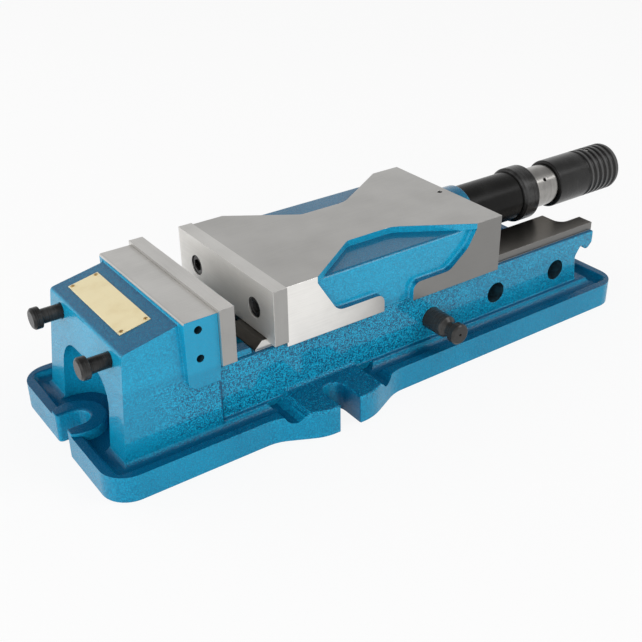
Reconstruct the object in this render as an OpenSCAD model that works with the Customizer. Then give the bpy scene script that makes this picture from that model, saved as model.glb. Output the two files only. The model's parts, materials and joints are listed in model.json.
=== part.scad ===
// Hydraulic machine vise: a cast bed with an integral fixed jaw, a sliding jaw
// over ground rails, and a hollow spindle with a hydraulic booster.
// Lengths run from the front edge of the base flange; the finished model is
// moved so that the origin is the middle of the base underside.

/* [Base flange] */
// Length of the base flange
bed_l = 573; // [566:1:590]
// Width of the base flange
bed_w = 196; // [190:1:210]
// Height of the flange rim
flange_h = 24; // [22:0.5:28]
// Corner radius of the flange
corner_r = 24; // [18:1:30]
// Width of the coolant gutter at the rim
gutter_w = 15; // [11:0.5:16]
// Depth of the coolant gutter
gutter_d = 6.5; // [4:0.5:8]
// Distance of the gutter centre line from the flange edge
gutter_in = 16; // [14:0.5:17]
// Rounding of the gutter's upper edges
gutter_lip = 2; // [1:0.1:2.2]
// Fillet at the foot of the bed sides
foot_fillet = 1.8; // [1:0.1:1.9]
// Thickness of the channel floor
floor_h = 18; // [14:0.5:20]
// Depth of the relief under the base
relief_d = 4; // [2:0.5:6]
// Width of the ground land left round the underside
land_w = 38; // [30:1:44]
// Length of the solid land in the middle of the underside
mid_land_l = 70; // [40:2:120]
// Width of the alignment key slots
key_w = 18; // [14:1:20]
// Depth of the alignment key slots
key_d = 7; // [5:0.5:9]

/* [Clamping slots] */
// Width of the clamping slots
slot_w = 20.4; // [16:0.2:22]
// Distance of the end slot's round centre from the flange edge
slot_in = 14; // [10:0.5:16]
// Radius of the boss round an end slot
slot_boss_r = 25; // [20:0.5:28]
// Height of the slot bosses above the rim
slot_boss_h = 3; // [1:0.5:4]
// Place of the side ears from the front edge
ear_x = 212; // [200:1:225]
// Half width over the side ears
ear_reach = 117; // [112:1:124]
// Length of a side ear at its outer face
ear_top_l = 50; // [44:1:60]
// Length of a side ear where it leaves the flange
ear_base_l = 126; // [112:1:140]
// Fillet where an ear leaves the flange
ear_root_r = 40; // [20:1:50]
// Corner radius of an ear
ear_nose_r = 45; // [20:1:50]
// Length of the flat pad on an ear
ear_pad_l = 74; // [60:1:80]
// Fillet where an ear pad meets the bed side
pad_fillet = 4.5; // [2:0.1:6]
// Distance of the ear slot's round centre from the ear's outer face
ear_slot_in = 23; // [18:0.5:26]
// Place of the drain notches from the ear centre
drain_x = 49; // [46:0.5:54]

/* [Fixed jaw block] */
// Width of the block at its top
block_top_w = 137; // [130:1:142]
// Width of the block at the flange
block_base_w = 150; // [146:1:152]
// Place of the block front face at the flange
block_base_x = 22.5; // [22:0.5:26]
// Lean of the block front face towards the jaw
block_lean = 9.5; // [4:0.5:14]
// Height of the block's front edge
block_front_h = 113.5; // [108:0.5:117]
// Height of the block top where it meets the jaw
block_back_h = 123.5; // [119:0.5:126]
// Place of the fixed jaw's front face
jaw_back_x = 82; // [78:0.5:86]
// Thickness of the fixed jaw
fixed_t = 30.2; // [26:0.2:34]
// Height of the ground top of the fixed jaw
fixed_h = 128; // [127:0.5:130]
// Width over the fixed jaw's side pads
side_pad_w = 154; // [152:0.5:157]
// Height of the side pads
side_pad_h = 62; // [56:0.5:68]
// Corner radius of the side pads
side_pad_r = 9; // [4:0.5:12]
// Width of the arch in the block front
arch_w = 92; // [80:1:100]
// Height of the arch
arch_h = 79; // [70:1:84]
// Corner radius of the arch
arch_r = 26; // [14:1:30]
// Depth of the arch niche behind the front face
arch_d = 32; // [24:1:36]
// Corner radius at the back of the arch niche
niche_r = 26; // [10:1:30]
// Radius of the tapped work stop holes
stop_r = 3.4; // [2.5:0.1:4.25]
// Depth of the work stop holes
stop_d = 16; // [10:1:18]
// Distance of the stop holes from the fixed jaw's front face
stop_x = 12.3; // [9:0.1:16]
// Distance of the upper stop hole from the ground top
stop_drop = 9.4; // [7:0.2:14]
// Spacing of the two stop holes
stop_pitch = 25.8; // [20:0.2:28]

/* [Bed and rails] */
// Width over the painted bed sides
side_w = 142; // [140:0.5:146]
// Height of the rails above the painted bed sides
rail_rise = 8; // [6:0.5:11]
// Width over the rails
rail_w = 134; // [128:0.5:136]
// Height of the rails
rail_h = 82; // [80:0.5:86]
// Thickness of the rails
rail_t = 22; // [16:0.5:24]
// Gap between the rails
rail_gap = 50; // [46:0.5:54]
// Width of the channel below the rails
channel_w = 90; // [84:1:96]
// Place of the front end of the rails
rail_start = 150; // [146:0.5:156]
// Bevel on the front end of the rails
rail_bevel = 7; // [3:0.5:7.5]
// Place of the rear end of the rails
rail_end = 557; // [550:1:560]
// Place of the rear end of the bed sides
wall_end = 537; // [530:1:542]
// Height of the lip under the rear end of the rails
lip_h = 20; // [16:0.5:26]
// Place of the notch at the rear of the rails
notch_x = 529; // [524:0.5:533]
// Width of the notch at the rear of the rails
notch_w = 100; // [90:1:106]
// Corner radius of the rear notch
notch_r = 10; // [4:0.5:14]
// Depth of the rear notch below the rails
notch_d = 14; // [8:1:20]
// Depth of the chip pocket in front of the rails
pocket_d = 8; // [4:0.5:11]
// Width of the chip pocket
pocket_w = 110; // [100:1:116]
// Rise of the painted rail roots above the ledge
root_rise = 5.5; // [3:0.1:5.8]
// Gap between the painted rail roots and the ground rails
root_gap = 3; // [2:0.5:6]
// Rounding at the rear of the painted rail roots
root_r = 3; // [1:0.5:3]

/* [Range setting] */
// Place of the first range hole
range_x = 339.5; // [336:0.5:343]
// Spacing of the range holes
range_pitch = 82.5; // [78:0.5:84]
// Number of range holes
range_count = 3; // [2:1:3]
// Height of the range holes
range_z = 44.5; // [42:0.5:46]
// Radius of the range pin
range_r = 10.4; // [8:0.1:11]
// Length of the range pin outside the bed
range_out = 22; // [16:1:26]
// Radius of the range pin neck
range_neck_r = 6.5; // [5:0.1:7.5]
// Length of the range pin neck
range_neck_l = 7; // [4:0.5:10]
// Radius of the range pin head
range_head_r = 10; // [8.5:0.1:11]
// Thickness of the range pin head
range_head_t = 8; // [5:0.5:10]
// Chamfer of the range pin head
range_bevel = 1.6; // [0.6:0.1:2.4]
// Distance of the range pin tip past the bed centre
range_tip = 56; // [50:1:66]

/* [Jaw plates] */
// Width of the jaw plates
plate_w = 160; // [158:1:166]
// Thickness of the jaw plates
plate_t = 13.6; // [13:0.1:15]
// Height of the jaw plates
plate_h = 51; // [48:0.5:51]
// Height of the fixed plate above the ground top
plate_proud = 3; // [1:0.5:3]
// Radius of the plate screw heads
screw_head_r = 9; // [8:0.1:10]
// Height of the plate screw heads
screw_head_h = 10; // [8:0.5:11]
// Radius of the plate screw shanks
screw_r = 6; // [4:0.1:7]
// Length of the plate screw shanks in the jaws
screw_l = 18; // [12:0.5:19]
// Distance between the two plate screws
screw_pitch = 98; // [90:1:106]
// Distance of the plate screws from the top of the plates
screw_drop = 27; // [22:0.5:30]

/* [Movable jaw] */
// Opening between the jaw plates as drawn
jaw_gap = 36; // [20:1:37]
// Length of the movable jaw body
mov_l = 240; // [236:1:244]
// Width of the movable jaw body
mov_w = 155.5; // [152:0.5:158]
// Gap between the jaw skirts and the painted bed sides
skirt_gap = 0.4; // [0.3:0.1:1.5]
// Width of the waist of the ground top
waist_w = 72; // [62:1:80]
// Start of the ground top's flare behind the jaw front
flare_x = 31.5; // [28:0.5:36]
// Start of the waist behind the jaw front
waist_x = 92.5; // [88:0.5:98]
// Length of the waist
waist_l = 50; // [40:1:56]
// Distance of the rear flare's end from the jaw rear
flare_end = 31; // [26:0.5:36]
// Depth of the painted ledges below the ground top
ledge_d = 6; // [4:0.5:8]
// Depth of the painted side recesses
recess_d = 6; // [5:0.2:7]
// Rounding between a side recess and the ledge above it
ridge_r = 4; // [2:0.5:5]
// Height of the foot below a side recess
foot_h = 17.6; // [14:0.2:22]
// Start of the recess foot behind the jaw front
foot_x = 52; // [48:0.5:58]
// Start of the gap between the feet behind the jaw front
stem_x = 102.5; // [96:0.5:108]
// Width of the gap between the feet
stem_w = 33; // [26:0.5:38]
// End of the rear foot's rise behind the jaw front
heel_x = 178; // [170:0.5:184]
// Thickness of the movable jaw's front wall
front_wall = 22.5; // [21.5:0.5:24]
// Thickness of the movable jaw's rear wall
rear_wall = 17.6; // [16:0.2:19]
// Length of the boss behind the rear wall
boss_l = 14.5; // [10:0.5:18]
// Radius of the boss behind the rear wall
boss_r = 27.5; // [27:0.1:30]
// Length of the front hold-down strap
strap_l = 34; // [24:1:35]
// Thickness of the hold-down straps
strap_t = 10; // [8:0.5:12]
// Radius of the strap screws
strap_screw_r = 4; // [3:0.1:5]

/* [Spindle] */
// Height of the spindle axis above the rails
axis_rise = 21; // [20:0.1:23]
// Radius of the screw
thread_r = 13; // [11:0.1:13.5]
// Radius of the push rod
rod_r = 7; // [5:0.1:7.5]
// Radius of the booster barrel
barrel_r = 25; // [24:0.1:25.4]
// Length of the booster barrel
barrel_l = 116; // [112:1:124]
// Length of the barrel in front of the rear wall
barrel_nose = 14; // [12:0.5:16]
// Bore radius of the booster barrel
ram_r = 19; // [16:0.1:20]
// Length of the ram
ram_l = 16; // [12:0.5:20]
// Length of the oil space behind the ram
oil_l = 22; // [18:0.5:26]
// Radius of the collar nut
collar_r = 28.3; // [27.5:0.1:30]
// Length of the collar nut
collar_l = 21; // [18:0.5:24]
// Chamfer of the collar nut
collar_bevel = 2.2; // [1:0.1:3]
// Radius of the pressure sleeve
sleeve_r = 21.4; // [20:0.1:22]
// Length of the sleeve behind the collar nut
sleeve_l = 69; // [66:1:76]
// Radius of the small piston
plunger_r = 6; // [4.5:0.1:7]
// Stroke of the small piston
plunger_stroke = 12; // [8:0.5:12]
// Radius of the drive screw
drive_r = 13; // [11:0.1:14]
// Gap between the collar nut and the grip
grip_gap = 33; // [30:0.5:36]
// Radius of the grip
grip_r = 24.9; // [24:0.1:27]
// Length of the grip
grip_l = 91; // [86:1:98]
// Number of grooves in the grip
groove_count = 6; // [3:1:6]
// Spacing of the grooves
groove_pitch = 7.4; // [6.5:0.1:7.6]
// Radius of the groove section
groove_r = 2.6; // [1.5:0.1:3]
// Depth of the grooves
groove_d = 1.6; // [0.8:0.1:2]
// Width across flats of the crank socket
crank_af = 14; // [10:0.5:16]
// Depth of the crank socket
crank_d = 20; // [12:1:24]

/* [Small pieces] */
// Width of the nameplate
name_w = 100; // [80:1:110]
// Depth of the nameplate along the slope
name_d = 28; // [22:0.5:34]
// Thickness of the nameplate
name_t = 1; // [0.6:0.1:1.5]
// Offset of the nameplate from the centre plane
name_y = 6; // [-8:0.5:8]
// Radius of the nameplate rivet heads
rivet_r = 1.9; // [1.2:0.1:2.4]
// Radius of the lifting pins
lift_r = 6.5; // [5:0.1:8]
// Length of the lifting pins in front of the block
lift_out = 18; // [12:0.5:22]
// Radius of the lifting pin heads
lift_head_r = 9.5; // [8:0.1:11]
// Thickness of the lifting pin heads
lift_head_t = 8; // [5:0.5:8]
// Chamfer of the lifting pin heads
lift_bevel = 1.8; // [0.6:0.1:2.4]
// Distance between the lifting pins
lift_pitch = 96; // [88:1:104]
// Distance of the lifting pins from the block's front edge
lift_drop = 12.5; // [11.5:0.5:16]

/* [Hidden] */
$fn = 72;

// Radial clearance of turning and sliding rounds
run = 0.05;
// Gap between flat faces that slide past each other
gap = 0.3;
// Overshoot of a cut past the surface it opens
past = 5;
// Depth to which joined shapes reach into each other
bite = 1;
// Depth to which a cut is let into one that it would only touch
nip = 0.1;

// Thickness of the wall behind the arch niche
arch_wall = 14;
// Height of the bevel on the rear lip, and of the hollow behind it
lip_bevel = 7;
// Rounding of the rear lip
lip_r = 4;
// Rounding of the block's front top edge
block_edge_r = 4;
// Rounding of the fixed jaw's top edge
jaw_edge_r = 2;

// Bed places
jaw_seat_x = jaw_back_x + fixed_t;
gutter_r = (gutter_w * gutter_w / 4 + gutter_d * gutter_d) / (2 * gutter_d);
gutter_z = flange_h + gutter_r - gutter_d;
gutter_y = bed_w / 2 - gutter_in;
gutter_floor = flange_h - gutter_d;
pad_top = flange_h + slot_boss_h;
ear_slot_y = ear_reach - ear_slot_in;
rail_under = rail_h - rail_t;
ledge_h = rail_h - rail_rise;
lip_z = ledge_h - lip_h;
pocket_z = ledge_h - pocket_d;
side_pad_z = fixed_h - side_pad_h;
stop_z = fixed_h - stop_drop - stop_pitch;
lift_z = block_front_h - lift_drop;
block_slope = atan((block_back_h - block_front_h) / (jaw_back_x - block_base_x - block_lean));

// Jaw places
fixed_face_x = jaw_seat_x + plate_t;
mov_face_x = fixed_face_x + jaw_gap;
mov_x0 = mov_face_x + plate_t;
mov_x1 = mov_x0 + mov_l;
plate_top = fixed_h + plate_proud;
plate_z = plate_top - plate_h;
screw_z = plate_top - screw_drop;
axis_h = rail_h + axis_rise;
mov_h = axis_h + boss_r;
skirt_z = ledge_h + skirt_gap;
foot_z = skirt_z + foot_h;
// Corner radii of the painted recess, from the front foot to the top of the rear flare
foot_r = 13;
stem_r = 8;
heel_r = 14;
brow_r = 22;
// Place of the bend in the rear flare, from its upper end
brow_in = 10;
brow_drop = 22;
// Corner radii of the waist
waist_front_r = 8;
waist_rear_r = 26;
cavity_x0 = mov_x0 + front_wall;
cavity_x1 = mov_x1 - rear_wall;
tongue_z = rail_under - gap;
tongue_w = rail_gap - 2 * gap;
strap_w = channel_w - 4 * gap;
rear_strap_l = rear_wall - 2;
strap_screw_y = 14;
strap_screw_l = 15;
tongue_x = mov_x0 + 2.5;

// Nut places, all set by the range pin
nut_lead = 61.5;
nut_tail = 5.5;
nut_foot_tail = 21.5;
nut_x0 = range_x - nut_lead;
nut_x1 = range_x + nut_tail;
nut_foot_x1 = range_x + nut_foot_tail;
nut_wall = 7;
nut_sleeve_wall = 2.5;
nut_r = thread_r + nut_wall;
nut_sleeve_r = thread_r + nut_sleeve_wall;
nut_flange_r = nut_r - gap;
nut_flange_t = 8;
cavity_gap = 0.6;
cavity_r = nut_r + cavity_gap;
nut_screw_r = 1.3;
nut_screw_l = 12;
nut_screw_at = (nut_sleeve_r + nut_flange_r) / 2;

// Spindle places
barrel_x0 = cavity_x1 - barrel_nose;
barrel_x1 = barrel_x0 + barrel_l;
barrel_wall = 18;
barrel_thread_r = barrel_r - 1;
barrel_thread_l = 11;
spigot_r = (thread_r + rod_r) / 2;
spigot_l = 6;
keeper_t = 6.8;
keeper_r = barrel_r - 4;
keeper_w = 2 * (barrel_r + 6.5);
keeper_z = rail_h + 2;
keeper_rise = 17;
keeper_h = axis_h + keeper_rise - keeper_z;
keeper_screw_z = 10;
keeper_screw_r = 2.5;
keeper_screw_l = 12;
keeper_screw_y = keeper_r + 7;
thrust_r = 12;
thrust_in = 10;
thrust_out = 7;
spring_l = 6;
ram_x0 = barrel_x0 + barrel_wall + spring_l;
ram_x1 = ram_x0 + ram_l;
ram_stroke = plunger_stroke * plunger_r * plunger_r / (ram_r * ram_r);
rod_x0 = cavity_x0 + thrust_out + ram_stroke + gap;
screw_x0 = rod_x0 + 2.5;
head_x0 = ram_x1 + oil_l;
sleeve_flange_x = barrel_x1 + barrel_thread_l;
sleeve_flange_t = 5;
sleeve_flange_r = barrel_thread_r - gap;
sleeve_x1 = barrel_x1 + collar_l + sleeve_l;
high_bore_l = 30;
plunger_x0 = head_x0 + 6;
plunger_seal_x = plunger_x0 + plunger_stroke;
plunger_head_x = head_x0 + high_bore_l + plunger_stroke + 1;
plunger_head_t = 6;
plunger_head_r = drive_r - 4;
drive_x0 = plunger_head_x + plunger_head_t;
grip_x0 = barrel_x1 + collar_l + grip_gap;
grip_x1 = grip_x0 + grip_l;
grip_bore_end = sleeve_x1 + plunger_stroke + 4;
clutch_x = sleeve_x1 - 10;
clutch_r = 3;
clutch_out = 0.8;
clutch_groove_r = drive_r + run + clutch_out + gap;
grub_r = 2;
grub_x = barrel_x1 + collar_l + 16;
grub_angle = 49;
seal_w = 3.6;
seal_r = 1.8;

// Paint and metal colours of the solids
paint = [0.10, 0.42, 0.62];
ground = [0.72, 0.71, 0.69];
black_oxide = [0.16, 0.15, 0.15];
bright = [0.80, 0.80, 0.80];
bronze = [0.72, 0.52, 0.26];
cream = [0.90, 0.84, 0.64];
seal_black = [0.08, 0.08, 0.08];

// A box between two corners
module block(x, y, z) {
  translate([x[0], y[0], z[0]])
    cube([x[1] - x[0], y[1] - y[0], z[1] - z[0]]);
}

// A box that is symmetric about the centre plane
module centred(x, w, z) {
  block(x, [-w / 2, w / 2], z);
}

// A round bar along X, on the spindle axis unless told otherwise
module bar_x(x0, x1, r, y = 0, z = axis_h) {
  translate([x0, y, z])
    rotate([0, 90, 0])
      cylinder(h = x1 - x0, r = r);
}

// A round bar along Y
module bar_y(y0, y1, r, x, z) {
  translate([x, y0, z])
    rotate([-90, 0, 0])
      cylinder(h = y1 - y0, r = r);
}

// A turned piece about the spindle axis from an outline of [x, radius] points
module turned(outline) {
  translate([0, 0, axis_h])
    rotate([0, 90, 0])
      rotate_extrude()
        polygon([for (p = outline) [p[1], p[0]]]);
}

// An outline in X and Z carried across the full width w
module across(outline, w) {
  translate([0, w / 2, 0])
    rotate([90, 0, 0])
      linear_extrude(w)
        polygon(outline);
}

// An outline in Y and Z carried along X
module lengthwise(outline, x) {
  translate([x[0], 0, 0])
    rotate([90, 0, 90])
      linear_extrude(x[1] - x[0])
        polygon(outline);
}

// Both sides of the centre plane
module both_sides() {
  children();
  mirror([0, 1, 0])
    children();
}

function unit(v) = v / norm(v);
function flat(p) = [p[0], p[1]];
function turn(a) = a > 180 ? a - 360 : a < -180 ? a + 360 : a;

// Points of one corner b, rounded with radius r between the sides to a and c
function corner(a, b, c, r, n) =
  r == 0 ? [b] :
  let (
    u = unit(a - b),
    w = unit(c - b),
    half = acos(u * w) / 2,
    middle = b + unit(u + w) * r / sin(half),
    from = b + u * r / tan(half) - middle,
    to = b + w * r / tan(half) - middle,
    start = atan2(from[1], from[0]),
    sweep = turn(atan2(to[1], to[0]) - start)
  )
  [for (k = [0 : n]) middle + r * [cos(start + sweep * k / n), sin(start + sweep * k / n)]];

// An outline of [x, y, radius] points with its corners rounded
function rounded(points, n = 6) =
  let (count = len(points))
  [for (i = [0 : count - 1])
    each corner(
      flat(points[(i + count - 1) % count]), flat(points[i]),
      flat(points[(i + 1) % count]), points[i][2], n)];

// A ring groove or seal section on a round of radius r
module seal_ring(x, r) {
  difference() {
    bar_x(x, x + seal_w, r);
    bar_x(x - past, x + seal_w + past, r - seal_r);
  }
}

// A hexagonal socket for a key, along X from x towards +X
module hex_socket(x, af, depth) {
  translate([x, 0, axis_h])
    rotate([0, 90, 0])
      cylinder(h = depth, r = af / sqrt(3), $fn = 6);
}

// Flange outline with true round corners
module flange_outline() {
  translate([corner_r, -bed_w / 2])
    square([bed_l - 2 * corner_r, bed_w]);
  translate([0, corner_r - bed_w / 2])
    square([bed_l, bed_w - 2 * corner_r]);
  for (x = [corner_r, bed_l - corner_r], y = [-1, 1])
    translate([x, y * (bed_w / 2 - corner_r)])
      circle(r = corner_r);
}

// One side ear with S-shaped shoulders
module ear_outline() {
  shoulder = ear_base_l / 2 + ear_root_r / 2;
  inner = side_w / 2 - past;
  polygon(rounded([
    [ear_x - shoulder, inner, 0],
    [ear_x - shoulder, bed_w / 2, 0],
    [ear_x - ear_base_l / 2, bed_w / 2, ear_root_r],
    [ear_x - ear_top_l / 2, ear_reach, ear_nose_r],
    [ear_x + ear_top_l / 2, ear_reach, ear_nose_r],
    [ear_x + ear_base_l / 2, bed_w / 2, ear_root_r],
    [ear_x + shoulder, bed_w / 2, 0],
    [ear_x + shoulder, inner, 0]
  ]));
}

// Half section of the rounded upper edges of the gutter, from its centre line and the rim
function gutter_lips() =
  let (
    rise = gutter_z - flange_h,
    reach = gutter_r + gutter_lip,
    edge = sqrt(reach * reach - pow(rise + gutter_lip, 2)),
    lean = atan2(edge, rise + gutter_lip),
    inner = gutter_r - nip,
    steps = 5
  )
  [
    [0, past],
    [0, rise - inner * cos(lean)],
    [inner * sin(lean), rise - inner * cos(lean)],
    each [for (k = [steps - 1 : -1 : 0])
      [edge - gutter_lip * sin(lean * k / steps), gutter_lip * (cos(lean * k / steps) - 1)]],
    [edge, past]
  ];

// Gutter all round the bed, with drains beside the ears
module gutter() {
  half = gutter_lips();
  for (y = [-gutter_y, gutter_y]) {
    bar_x(gutter_in, bed_l - gutter_in, gutter_r, y, gutter_z);
    for (way = [-1, 1])
      translate([0, y, flange_h])
        lengthwise([for (p = half) [way * p[0], p[1]]], [gutter_in, bed_l - gutter_in]);
  }
  for (x = [gutter_in, bed_l - gutter_in]) {
    bar_y(-gutter_y, gutter_y, gutter_r, x, gutter_z);
    for (way = [-1, 1])
      translate([x, 0, flange_h])
        across([for (p = half) [way * p[0], p[1]]], 2 * gutter_y);
  }
  for (x = [gutter_in, bed_l - gutter_in], y = [-gutter_y, gutter_y])
    translate([x, y, 0]) {
      translate([0, 0, gutter_z])
        sphere(r = gutter_r);
      translate([0, 0, flange_h])
        rotate_extrude()
          polygon(half);
    }
  for (x = [ear_x - drain_x, ear_x + drain_x]) {
    bar_y(-ear_reach - past, ear_reach + past, gutter_r, x, gutter_z);
    for (way = [-1, 1])
      translate([x, 0, flange_h])
        across([for (p = half) [way * p[0], p[1]]], 2 * ear_reach + 2 * past);
  }
}

// Concave fillet of radius r along the foot of both bed sides, on a face at height z
module foot_fillets(x, z, r) {
  side = side_w / 2;
  both_sides()
    lengthwise([
      [side - bite, z - bite],
      [side + r, z - bite],
      each [for (a = [0 : 15 : 90]) [side + r - r * sin(a), z + r - r * cos(a)]],
      [side - bite, z + r]
    ], x);
}

// Raised pads on the ears and bosses at the end slots
module clamping_pads() {
  foot = slot_boss_h + gutter_d;
  both_sides()
    intersection() {
      linear_extrude(pad_top)
        ear_outline();
      across([
        [ear_x - ear_pad_l / 2 - foot, 0],
        [ear_x - ear_pad_l / 2 - foot, gutter_floor],
        [ear_x - ear_pad_l / 2, pad_top],
        [ear_x + ear_pad_l / 2, pad_top],
        [ear_x + ear_pad_l / 2 + foot, gutter_floor],
        [ear_x + ear_pad_l / 2 + foot, 0]
      ], 2 * ear_reach + past);
    }
  foot_fillets([ear_x - ear_pad_l / 2, ear_x + ear_pad_l / 2], pad_top, pad_fillet);
  intersection() {
    linear_extrude(pad_top)
      flange_outline();
    for (x = [slot_in, bed_l - slot_in])
      translate([x, 0, 0])
        cylinder(h = pad_top, r = slot_boss_r);
  }
}

// Open-ended slots for the clamping bolts
module clamping_slots() {
  top = pad_top + past;
  for (x = [slot_in, bed_l - slot_in])
    translate([x, 0, -past])
      cylinder(h = top + past, d = slot_w);
  centred([-past, slot_in], slot_w, [-past, top]);
  centred([bed_l - slot_in, bed_l + past], slot_w, [-past, top]);
  both_sides() {
    translate([ear_x, ear_slot_y, -past])
      cylinder(h = top + past, d = slot_w);
    block([ear_x - slot_w / 2, ear_x + slot_w / 2], [ear_slot_y, ear_reach + past], [-past, top]);
  }
}

// Drafted block that carries the fixed jaw
module jaw_block() {
  root = gutter_floor - bite;
  intersection() {
    across(rounded([
      [block_base_x, root, 0],
      [block_base_x, flange_h, 0],
      [block_base_x + block_lean, block_front_h, block_edge_r],
      [jaw_back_x, block_back_h, 0],
      [jaw_seat_x, block_back_h, 0],
      [jaw_seat_x, root, 0]
    ]), bed_w);
    lengthwise([
      [-block_base_w / 2, root],
      [-block_base_w / 2, flange_h],
      [-block_top_w / 2, fixed_h],
      [block_top_w / 2, fixed_h],
      [block_base_w / 2, flange_h],
      [block_base_w / 2, root]
    ], [0, jaw_seat_x]);
  }
  across(rounded([
    [jaw_back_x, fixed_h, jaw_edge_r],
    [jaw_seat_x, fixed_h, 0],
    [jaw_seat_x, side_pad_z, 0],
    [jaw_back_x, side_pad_z, side_pad_r]
  ]), side_pad_w);
}

// Niche under the block, open to the front, with its floor level with the gutter
module front_arch() {
  back = block_base_x + arch_d;
  intersection() {
    lengthwise(rounded([
      [-arch_w / 2, gutter_floor, 0],
      [-arch_w / 2, arch_h, arch_r],
      [arch_w / 2, arch_h, arch_r],
      [arch_w / 2, gutter_floor, 0]
    ]), [gutter_in, back]);
    linear_extrude(fixed_h)
      polygon(rounded([
        [gutter_in, -arch_w / 2, 0],
        [back, -arch_w / 2, niche_r],
        [back, arch_w / 2, niche_r],
        [gutter_in, arch_w / 2, 0]
      ]));
  }
}

// Bed sides, rails and rail roots as solid bars, before the channel is cut
module bed_bars() {
  root = gutter_floor - bite;
  across(rounded([
    [jaw_back_x, root, 0],
    [jaw_back_x, ledge_h, 0],
    [rail_end, ledge_h, 0],
    [rail_end, lip_z + lip_bevel, lip_r],
    [rail_end - lip_bevel, lip_z, lip_r],
    [wall_end + lip_bevel / 2, lip_z + lip_bevel, lip_r / 2],
    [wall_end - lip_bevel / 2, lip_z - lip_bevel / 2, 2 * lip_r],
    [wall_end, flange_h, 0],
    [wall_end, root, 0]
  ]), side_w);
  across([
    [rail_start, rail_under],
    [rail_start, rail_h - rail_bevel],
    [rail_start + rail_bevel, rail_h],
    [rail_end, rail_h],
    [rail_end, ledge_h - bite],
    [rail_end - lip_bevel, rail_under]
  ], rail_w);
  across(rounded([
    [jaw_seat_x, ledge_h - bite, 0],
    [jaw_seat_x, ledge_h + root_rise, 0],
    [rail_start - root_gap, ledge_h + root_rise, root_r],
    [rail_start - root_gap, ledge_h - bite, 0]
  ]), rail_w);
}

// Channel between and under the rails, chip pocket and rear notch
module bed_cuts() {
  centred([block_base_x + arch_d + arch_wall, bed_l - gutter_in], channel_w, [floor_h, rail_under]);
  centred([jaw_seat_x, rail_end + past], rail_gap, [rail_under - bite, rail_h + past]);
  centred([jaw_seat_x, rail_start], pocket_w, [pocket_z, rail_h + past]);
  translate([0, 0, rail_under - notch_d])
    linear_extrude(rail_h)
      polygon(rounded([
        [notch_x, -notch_w / 2, notch_r],
        [rail_end + past, -notch_w / 2, 0],
        [rail_end + past, notch_w / 2, 0],
        [notch_x, notch_w / 2, notch_r]
      ]));
  for (k = [0 : range_count - 1])
    bar_y(-side_w, side_w, range_r + run, range_x + k * range_pitch, range_z);
}

// Relief and key slots in the underside
module underside() {
  middle = bed_l / 2;
  half = bed_l / 2 - land_w - slot_in;
  for (x = [[middle - half, middle - mid_land_l / 2], [middle + mid_land_l / 2, middle + half]])
    centred(x, bed_w - 2 * land_w, [-past, relief_d]);
  for (x = [[slot_in, middle - half + past], [middle + half - past, bed_l - slot_in]])
    centred(x, key_w, [-past, key_d]);
}

// Cast bed with its fixed jaw, one casting
module vise_body() {
  color(paint)
    difference() {
      union() {
        difference() {
          union() {
            difference() {
              linear_extrude(flange_h)
                union() {
                  flange_outline();
                  both_sides()
                    ear_outline();
                }
              gutter();
            }
            jaw_block();
            bed_bars();
            foot_fillets([jaw_seat_x, wall_end - lip_bevel], flange_h, foot_fillet);
          }
          bed_cuts();
          front_arch();
        }
        clamping_pads();
      }
      clamping_slots();
      underside();
      plate_screw_holes(jaw_seat_x - screw_l - 1, jaw_seat_x + past, screw_r + run);
      both_sides()
        for (z = [stop_z, stop_z + stop_pitch])
          bar_y(side_pad_w / 2 - stop_d, side_pad_w / 2 + past, stop_r, jaw_back_x + stop_x, z);
      lift_bars(lift_r + run, block_front_x(lift_z) - lift_out, lift_root_x);
      on_nameplate()
        rivet_shanks(1 + run);
    }
}

// Place of the block front face at height z
function block_front_x(z) = block_base_x + block_lean * (z - flange_h) / (block_front_h - flange_h);

// Two bars on the plate screw axes
module plate_screw_holes(x0, x1, r) {
  for (y = [-screw_pitch / 2, screw_pitch / 2])
    bar_x(x0, x1, r, y, screw_z);
}

// Hardened jaw plate with counterbored screw holes; face is the gripping side
module jaw_plate(seat, face, z) {
  head = face > seat ? [face - screw_head_h - 1, face + past] : [face - past, face + screw_head_h + 1];
  low = min(seat, face);
  high = max(seat, face);
  color(ground)
    difference() {
      centred([low, high], plate_w, [z, z + plate_h]);
      plate_screw_holes(low - past, high + past, screw_r + run);
      plate_screw_holes(head[0], head[1], screw_head_r + gap);
    }
}

// Two socket head screws whose heads point to the gripping side
module plate_screws(seat, face) {
  way = face > seat ? 1 : -1;
  top = face - way;
  under = top - way * screw_head_h;
  tip = seat - way * screw_l;
  color(black_oxide)
    difference() {
      union() {
        plate_screw_holes(min(top, under), max(top, under), screw_head_r);
        plate_screw_holes(min(tip, under), max(tip, under), screw_r);
      }
      for (y = [-screw_pitch / 2, screw_pitch / 2])
        translate([top - way * screw_head_h * 0.55, y, screw_z])
          rotate([0, 90 * way, 0])
            cylinder(h = screw_head_h, r = screw_r * 0.96, $fn = 6);
    }
}

module fixed_jaw_plate() {
  jaw_plate(jaw_seat_x, fixed_face_x, plate_z);
}

module fixed_plate_screws() {
  plate_screws(jaw_seat_x, fixed_face_x);
}

// The movable plate steps over the rails like the jaw behind it
module movable_jaw_plate() {
  color(ground)
    difference() {
      jaw_plate(mov_x0, mov_face_x, plate_z);
      centred([mov_face_x - past, mov_x0 + past], rail_w + 2 * gap, [plate_z - past, rail_h + gap]);
    }
}

module movable_plate_screws() {
  plate_screws(mov_x0, mov_face_x);
}

// Moves flat work onto the middle of the block's sloping top
module on_nameplate() {
  front = block_base_x + block_lean;
  rise = block_back_h - block_front_h;
  translate([(front + jaw_back_x) / 2, name_y, block_front_h + rise / 2])
    rotate([0, -block_slope, 0])
      children();
}

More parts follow.
